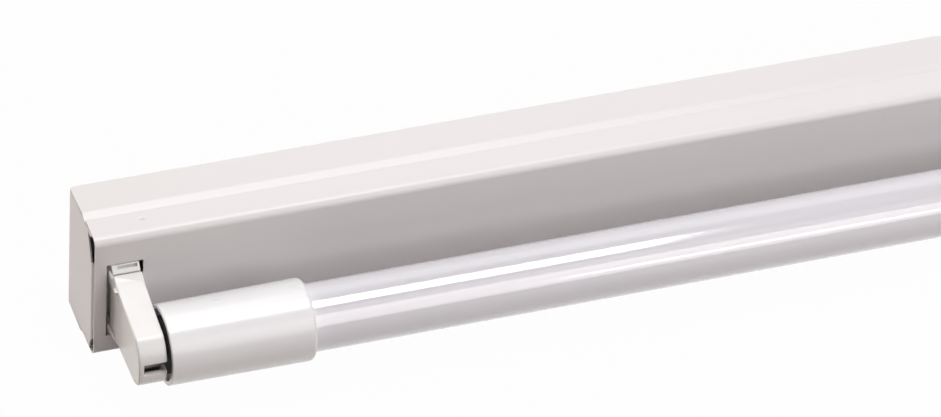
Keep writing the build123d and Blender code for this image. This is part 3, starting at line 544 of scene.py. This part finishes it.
class FIXTURE_OT_stage(bpy.types.Operator):
    """Adds the floor, the lamps, the even light and the camera"""

    bl_idname = "fixture.stage"
    bl_label = "Stage"

    ROOM_TINT = (1, 0.985, 0.975)
    FLOOR_ROUGHNESS = 0.9
    # In millimetres, as the focal length
    SENSOR_WIDTH = 36
    # The camera sees what lies between these distances
    NEAREST, FARTHEST = 0.05, 50

    # Each lamp's place, what it faces, its width and height, and its tint
    LAMPS = {
        "top": ((-0.005, -0.27, 1.6), (-0.005, -0.27, 0), (0.85, 0.62), (1, 0.99, 0.995)),
        "back": ((-0.15, 0.45, 1.5), (-0.15, -0.06, 0), (0.6, 0.86), (1, 0.99, 0.995)),
        "front": ((0.3, -1.22, 0.58), (0.3, -0.06, 0), (0.86, 0.9), (1, 0.935, 0.925)),
        "strip": ((0.67, -1.4, 0.52), (0.67, -0.06, 0), (0.76, 0.15), (1, 0.98, 1)),
        "end": ((-1.15, 1.1, 0.35), (-0.3, 0, 0), (1.1, 0.9), (1, 0.9, 0.82)),
    }

    def execute(self, context):
        settings = context.scene.fixture.stage
        ground = (0, 0, cad_box[0].z - settings.floor_gap)
        bpy.ops.mesh.primitive_plane_add(size=settings.floor_size, location=ground)
        floor = context.object
        floor.name = "floor"
        dress(floor, self.floor_material(settings))
        for name, (place, target, size, tint) in self.LAMPS.items():
            power = getattr(settings, name + "_power")
            self.lamp(context, name + "_lamp", place, target, size, tint, power)
        self.room_light(context, settings)
        bpy.ops.object.camera_add(location=settings.camera_place, rotation=settings.camera_turn)
        camera = context.object
        camera.name = "camera"
        camera.data.lens = settings.camera_lens
        camera.data.sensor_width = self.SENSOR_WIDTH
        camera.data.clip_start = self.NEAREST
        camera.data.clip_end = self.FARTHEST
        context.scene.camera = camera
        context.scene.view_settings.view_transform = "Standard"
        return {"FINISHED"}

    def lamp(self, context, name, place, target, size, tint, power):
        """One soft lamp that faces a target."""
        turn = (Vector(target) - Vector(place)).to_track_quat("-Z", "Y").to_euler()
        bpy.ops.object.light_add(type="AREA", location=place, rotation=turn)
        lamp = context.object
        lamp.name = name
        lamp.data.shape = "RECTANGLE"
        lamp.data.size, lamp.data.size_y = size
        lamp.data.color = tint
        lamp.data.energy = power

    def calculate(self, tree, operation, first, second):
        """Works out one value from two sockets, or from a socket and a number."""
        node = tree.nodes.new("ShaderNodeMath")
        node.operation = operation
        tree.links.new(first, node.inputs[0])
        if isinstance(second, bpy.types.NodeSocket):
            tree.links.new(second, node.inputs[1])
        else:
            node.inputs[1].default_value = second
        return node.outputs[0]

    def background_rays(self, tree):
        """Is 1 for rays that show the background: camera, glossy and transmission rays."""
        rays = tree.nodes.new("ShaderNodeLightPath").outputs
        shown = self.calculate(tree, "MAXIMUM", rays["Is Camera Ray"], rays["Is Glossy Ray"])
        return rays, self.calculate(tree, "MAXIMUM", shown, rays["Is Transmission Ray"])

    def floor_material(self, settings):
        """Pale floor that is seen nearly white, and keeps a soft shadow."""
        material = bpy.data.materials.new("floor")
        material.use_nodes = True
        tree = material.node_tree
        surface = tree.nodes["Principled BSDF"]
        surface.inputs["Base Color"].default_value = (*settings.floor_colour, 1)
        surface.inputs["Roughness"].default_value = self.FLOOR_ROUGHNESS
        surface.inputs["Specular IOR Level"].default_value = 0
        white = tree.nodes.new("ShaderNodeEmission")
        white.inputs["Strength"].default_value = 1
        mix = tree.nodes.new("ShaderNodeMixShader")
        _, shown = self.background_rays(tree)
        share = self.calculate(tree, "MULTIPLY", shown, settings.white_share)
        tree.links.new(share, mix.inputs["Fac"])
        tree.links.new(surface.outputs[0], mix.inputs[1])
        tree.links.new(white.outputs[0], mix.inputs[2])
        tree.links.new(mix.outputs[0], tree.nodes["Material Output"].inputs["Surface"])
        return material

    def room_light(self, context, settings):
        """Even light from all round, behind a white backdrop with a dim ceiling over it."""
        world = bpy.data.worlds.new("room")
        context.scene.world = world
        world.use_nodes = True
        tree = world.node_tree
        room = tree.nodes["Background"]
        room.inputs["Color"].default_value = (*self.ROOM_TINT, 1)
        room.inputs["Strength"].default_value = settings.world_strength
        rays, shown = self.background_rays(tree)
        height = tree.nodes.new("ShaderNodeSeparateXYZ")
        direction = tree.nodes.new("ShaderNodeTexCoord").outputs["Generated"]
        tree.links.new(direction, height.inputs["Vector"])
        ceiling = tree.nodes.new("ShaderNodeMapRange")
        ceiling.inputs["From Min"].default_value = settings.backdrop_top
        ceiling.inputs["From Max"].default_value = settings.backdrop_top + settings.backdrop_fade
        ceiling.inputs["To Min"].default_value = 1
        ceiling.inputs["To Max"].default_value = settings.ceiling
        tree.links.new(height.outputs["Z"], ceiling.inputs["Value"])
        white = tree.nodes.new("ShaderNodeBackground")
        dimmed = ceiling.outputs["Result"]
        strength = self.calculate(tree, "MAXIMUM", dimmed, rays["Is Camera Ray"])
        tree.links.new(strength, white.inputs["Strength"])
        mix = tree.nodes.new("ShaderNodeMixShader")
        tree.links.new(shown, mix.inputs["Fac"])
        tree.links.new(room.outputs[0], mix.inputs[1])
        tree.links.new(white.outputs[0], mix.inputs[2])
        tree.links.new(mix.outputs[0], tree.nodes["World Output"].inputs["Surface"])


# Sheet metal


class FIXTURE_OT_sheet_metal(bpy.types.Operator):
    """Opens the channel's seams, lengthens the cover's openings and rounds its snap bumps"""

    bl_idname = "fixture.sheet_metal"
    bl_label = "Sheet metal"

    # The bent edge of an end plate lies this near to the end and to the front of the channel
    BEND_WIDTH, BEND_DEPTH = 6 * MM, 2.2 * MM
    # The outer edge of an opening lies this near to the lampholder's outer side, and within
    # this height of the middle
    OPENING_BAND, OPENING_HALF = MM, 20 * MM
    # The tips of the snap bumps lie this near to the outermost height of the cover
    TIP_BAND = 0.05 * MM
    DOME_SEGMENTS = 4
    # The cover's paint is this much lighter than the body's
    COVER_SHARE = 1.02

    def execute(self, context):
        settings = context.scene.fixture
        sheet = settings.sheet
        body = merged_copy("channel_body", "folded_channel")
        edit(body, True)
        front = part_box("channel_body")[0].y
        for _, side in SIDES:
            end = side * cad_box[1].x
            choose("VERT", lambda v: self.on_bend(v, end, front))
            bpy.ops.transform.translate(value=(0, sheet.seam, 0))
        edit(body, False)
        smooth(body)
        material = powder_coat("body_paint", settings.paint)
        hand_in(body, material, "body", "body_paint", "channel_body")
        cover = merged_copy("front_cover", "folded_cover")
        edit(cover, True)
        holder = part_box("right_holder_housing")[1].x
        for _, side in SIDES:
            choose("VERT", lambda v: self.on_opening(v, side * holder))
            bpy.ops.transform.translate(value=(side * sheet.slot, 0, 0))
        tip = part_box("front_cover")[1].z - self.TIP_BAND
        choose("EDGE", lambda e: all(abs(v.co.z) > tip for v in e.verts))
        bpy.ops.mesh.bevel(offset=sheet.dome, segments=self.DOME_SEGMENTS)
        edit(cover, False)
        smooth(cover)
        material = powder_coat("cover_paint", settings.paint, self.COVER_SHARE)
        hand_in(cover, material, "cover", "cover_paint", "front_cover")
        return {"FINISHED"}

    def on_bend(self, vertex, end, front):
        """Tells whether a vertex lies on the bent edge of the end plate at one end."""
        x, y, _ = vertex.co
        return abs(x - end) < self.BEND_WIDTH and y < front + self.BEND_DEPTH

    def on_opening(self, vertex, holder):
        """Tells whether a vertex lies on the outer edge of the opening for one lampholder."""
        x, _, z = vertex.co
        return abs(x - holder) < self.OPENING_BAND and abs(z) < self.OPENING_HALF


# Tube


class FIXTURE_OT_end_caps(bpy.types.Operator):
    """Turns the two end caps of the tube, with their rounded rims and hollow backs"""

    bl_idname = "fixture.end_caps"
    bl_label = "End caps"

    FACETS, FACE_SEGMENTS, RIM_SEGMENTS = 128, 5, 6
    # The outer face lies this near to the end, and the vertices of a ring this near to it
    FACE_BAND, RING_BAND = MM, 0.1 * MM

    def execute(self, context):
        settings = context.scene.fixture
        tube = settings.tube
        tube_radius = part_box("diffuser_tube")[1].z - AXIS_Z
        base_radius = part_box("left_pin_base")[1].z - AXIS_Z
        rim_radius = CAP_HIGH.z - AXIS_Z
        face_radius = rim_radius - tube.draft
        cavity_radius = tube_radius - tube.wall
        face, rim = CAP_LOW.x, CAP_HIGH.x
        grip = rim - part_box("diffuser_tube")[0].x
        radii = (face_radius, rim_radius)
        cap = rod("left_cap", face, rim, AXIS_Y, AXIS_Z, *radii, self.FACETS)
        edit(cap, True)
        # The open end takes the tube, and behind the tube the cap is hollow
        choose("FACE", lambda f: f.normal.x > FACING)
        bpy.ops.mesh.inset(thickness=rim_radius - tube_radius)
        push(-grip)
        bpy.ops.mesh.inset(thickness=tube_radius - cavity_radius)
        push(-(rim - face - grip - tube.end_sink - tube.end_wall))
        # The sunk outer face holds the pin base in a round opening
        bpy.ops.mesh.inset(thickness=cavity_radius - base_radius)
        bpy.ops.mesh.delete(type="FACE")
        choose("FACE", lambda f: self.on_end(f, face))
        bpy.ops.mesh.inset(thickness=tube.end_rim)
        push(tube.end_sink)
        bpy.ops.mesh.inset(thickness=face_radius - tube.end_rim - base_radius)
        bpy.ops.mesh.delete(type="FACE")
        choose("EDGE", lambda e: e.is_boundary)
        bpy.ops.mesh.bridge_edge_loops()
        # Rounded outer rims
        choose("EDGE", lambda e: self.on_rim(e, face, face_radius))
        bpy.ops.mesh.bevel(offset=tube.face_round, segments=self.FACE_SEGMENTS)
        choose("EDGE", lambda e: self.on_rim(e, rim, rim_radius))
        bpy.ops.mesh.bevel(offset=tube.rim_round, segments=self.RIM_SEGMENTS)
        bpy.ops.mesh.select_all(action="SELECT")
        bpy.ops.mesh.normals_make_consistent(inside=False)
        edit(cap, False)
        material = gloss_plastic("cap_plastic", settings.plastic.cap)
        twin = mirrored(cap, "right_cap")
        for piece, node in ((cap, "left_end_cap"), (twin, "right_end_cap")):
            smooth(piece)
            hand_in(piece, material, "tube", "cap_plastic", node)
        return {"FINISHED"}

    def on_end(self, face, x):
        """Tells whether a face is the outer face of the cap, at a distance along the fixture."""
        return face.normal.x < -FACING and face.calc_center_median().x < x + self.FACE_BAND

    def on_rim(self, edge, x, radius):
        """Tells whether an edge lies on the outer ring at a distance along the fixture."""
        return all(
            abs(v.co.x - x) < self.RING_BAND
            and abs(math.hypot(v.co.y - AXIS_Y, v.co.z - AXIS_Z) - radius) < self.RING_BAND
            for v in edge.verts
        )


class FIXTURE_OT_diffuser(bpy.types.Operator):
    """Draws the milky tube between the caps"""

    bl_idname = "fixture.diffuser"
    bl_label = "Diffuser"

    FACETS = 160

    def execute(self, context):
        settings = context.scene.fixture
        low, high, centre = span("diffuser_tube")
        radius = high.z - centre.z
        place = (low.x, high.x, centre.y, centre.z)
        pipe = rod("milky_tube", *place, radius, radius, self.FACETS)
        edit(pipe, True)
        choose("FACE", lambda f: abs(f.normal.x) > FACING)
        bpy.ops.mesh.inset(thickness=settings.tube.wall)
        bpy.ops.mesh.delete(type="FACE")
        choose("EDGE", lambda e: e.is_boundary)
        bpy.ops.mesh.bridge_edge_loops()
        bpy.ops.mesh.select_all(action="SELECT")
        bpy.ops.mesh.normals_make_consistent(inside=False)
        edit(pipe, False)
        soften(pipe, settings.tube.end_edge)
        material = milky_plastic("diffuser", settings.plastic.diffuser)
        hand_in(pipe, material, "tube", "diffuser", "diffuser_tube")
        return {"FINISHED"}


# Lampholders


class FIXTURE_OT_lampholders(bpy.types.Operator):
    """Shades the lampholders smooth, and rounds the edges of their plates, rotors and latches"""

    bl_idname = "fixture.lampholders"
    bl_label = "Lampholders"

    HOLDER_ROUGHNESS = 0.24
    SEGMENTS = 4
    # Degrees; the lower one keeps the housing's brow apart from its slope
    SMOOTHING, HOUSING_SMOOTHING = 24, 20

    def execute(self, context):
        settings = context.scene.fixture
        plastic = settings.plastic
        satin = satin_plastic("holder_plastic", plastic.holder, self.HOLDER_ROUGHNESS)
        # The rotor material's grey tone is partly painted shade for the drum inside the holder's
        # slot
        drum_with_painted_shade = satin_plastic("rotor_plastic", plastic.rotor)
        for side, _ in SIDES:
            for part, body, material, slot in (
                ("holder_housing", "cover", satin, "holder_plastic"),
                ("holder_plate", "cover", satin, "holder_plastic"),
                ("latch", side + "_latch", satin, "holder_plastic"),
                ("rotor", side + "_rotor", drum_with_painted_shade, "rotor_plastic"),
            ):
                node = side + "_" + part
                piece = merged_copy(node, node + "_moulding")
                # The housing's edges are already round in the CAD model
                if part == "holder_housing":
                    smooth(piece, self.HOUSING_SMOOTHING)
                else:
                    soften(piece, settings.moulding.edge, self.SEGMENTS, self.SMOOTHING)
                hand_in(piece, material, body, slot, node)
        return {"FINISHED"}


# Finishes of the nodes that are carried over


class FIXTURE_OT_finishes(bpy.types.Operator):
    """Gives the CAD nodes that stay their finishes"""

    bl_idname = "fixture.finishes"
    bl_label = "Finishes"

    BRASS = (0.72, 0.6, 0.36)
    NICKEL = (0.62, 0.6, 0.57)
    ZINC = (0.66, 0.67, 0.68)
    TIN = (0.7, 0.7, 0.68)
    DARK_PLASTIC = (0.05, 0.05, 0.052)
    CLIP_PLASTIC = (0.8, 0.8, 0.77)
    RUBBER = (0.02, 0.02, 0.022)
    LIVE = (0.13, 0.045, 0.02)
    NEUTRAL = (0.02, 0.07, 0.32)
    EARTH = (0.09, 0.3, 0.03)
    WHITE_MASK = (0.82, 0.82, 0.82)
    GREEN_MASK = (0.02, 0.14, 0.05)
    PHOSPHOR = (0.85, 0.68, 0.12)
    COMPONENT = (0.025, 0.025, 0.027)
    # Roughness, from the glossiest plastic to rubber
    SMOOTH, SATIN, MATT, RUBBERY = 0.4, 0.45, 0.5, 0.65

    def execute(self, context):
        block = context.scene.fixture.plastic.block
        base = satin_plastic("base_plastic", self.DARK_PLASTIC, self.SATIN)
        dress_nodes(base, *both("pin_base"))
        dress_nodes(turned_metal("pin_brass", self.BRASS), *both("contact_pins"))
        dress_nodes(stamped_metal("contact_nickel", self.NICKEL), *both("contacts"))
        zinc = stamped_metal("plated_steel", self.ZINC)
        dress_nodes(zinc, "earth_stud", "earth_washer", "earth_nut", "terminal_bracket")
        dress_nodes(zinc, "clamp_screws", "block_screws", "earth_screw", "earth_tag")
        dress_nodes(turned_metal("clamp_brass", self.BRASS), "terminal_clamps")
        dress_nodes(satin_plastic("block_plastic", block, self.MATT), "terminal_block")
        dress_nodes(satin_plastic("clip_plastic", self.CLIP_PLASTIC, self.SATIN), "lead_clips")
        dress_nodes(soft_skin("rubber", self.RUBBER, self.RUBBERY), "cable_grommet")
        dress_nodes(soft_skin("live_sheath", self.LIVE, self.SMOOTH), "live_lead")
        dress_nodes(soft_skin("neutral_sheath", self.NEUTRAL, self.SMOOTH), "neutral_lead")
        dress_nodes(soft_skin("earth_sheath", self.EARTH, self.SMOOTH), "earth_lead")
        dress_nodes(solder_mask("board", self.WHITE_MASK), "led_board")
        circuit = solder_mask("circuit_board", self.GREEN_MASK)
        dress_nodes(circuit, "driver_board", "link_board")
        dress_nodes(satin_plastic("chip", self.PHOSPHOR, self.SMOOTH), "led_chips")
        dress_nodes(satin_plastic("electronics", self.COMPONENT, self.SATIN), "driver_parts")
        dress_nodes(stamped_metal("header_tin", self.TIN), "board_headers")
        return {"FINISHED"}


class FIXTURE_PT_panel(bpy.types.Panel):
    """Lists the steps that make the fixture"""

    bl_idname = "FIXTURE_PT_panel"
    bl_label = "Channel light fixture"
    bl_space_type = "VIEW_3D"
    bl_region_type = "UI"
    bl_category = "Fixture"

    def draw(self, context):
        for step in STEPS:
            self.layout.operator(step.bl_idname)
        settings = context.scene.fixture
        groups = (settings.stage, settings.paint, settings.plastic, settings.sheet)
        for group in (*groups, settings.tube, settings.moulding):
            box = self.layout.box()
            for name in type(group).__annotations__:
                box.prop(group, name)


STEPS = (
    FIXTURE_OT_stage,
    FIXTURE_OT_sheet_metal,
    FIXTURE_OT_end_caps,
    FIXTURE_OT_diffuser,
    FIXTURE_OT_lampholders,
    FIXTURE_OT_finishes,
)
GROUPS = (
    StageSettings,
    PaintSettings,
    PlasticSettings,
    TubeSettings,
    MouldingSettings,
    SheetSettings,
    FixtureSettings,
)
CLASSES = (*GROUPS, *STEPS, FIXTURE_PT_panel)


def register():
    """Registers the classes and hangs the settings on the scene."""
    for cls in CLASSES:
        bpy.utils.register_class(cls)
    bpy.types.Scene.fixture = bpy.props.PointerProperty(type=FixtureSettings)


def unregister():
    """Takes the settings and the classes away again."""
    del bpy.types.Scene.fixture
    for cls in reversed(CLASSES):
        bpy.utils.unregister_class(cls)


def main():
    """Makes the whole fixture."""
    register()
    bpy.ops.fixture.stage()
    bpy.ops.fixture.sheet_metal()
    bpy.ops.fixture.end_caps()
    bpy.ops.fixture.diffuser()
    bpy.ops.fixture.lampholders()
    bpy.ops.fixture.finishes()


if __name__ == "__main__":
    main()
